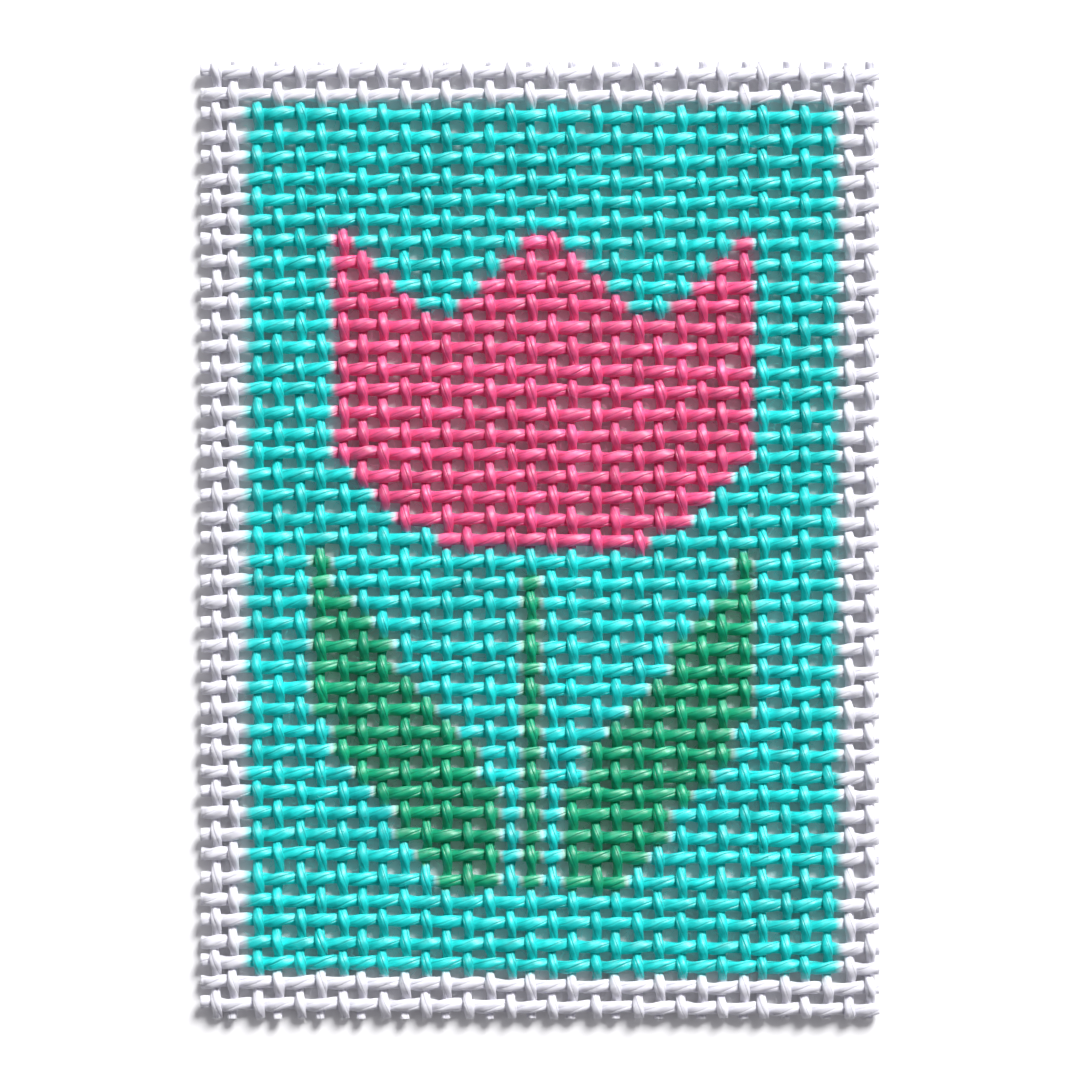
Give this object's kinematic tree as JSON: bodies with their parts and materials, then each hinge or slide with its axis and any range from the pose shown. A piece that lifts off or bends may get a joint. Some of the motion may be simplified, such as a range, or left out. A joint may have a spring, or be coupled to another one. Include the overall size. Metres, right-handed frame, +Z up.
{
  "type": "needlepoint canvas panel",
  "caption": "Flat cut panel of open plain-woven needlepoint canvas with raw thread ends, painted face up with a tulip on a turquoise ground inside a bare white border.",
  "frame": {"origin": "under the middle of the panel, on the surface it lies on", "axes": "+Z up out of the painted face, +Y along the height towards the flower's bloom, +X across the width to the right"},
  "size_m": [0.0628, 0.0886, 0.0018],
  "materials": {
    "painted_canvas": "matt acrylic paint on stiff white cotton canvas thread"
  },
  "bodies": {
    "root": {"canvas": "painted_canvas"}
  },
  "joints": []
}
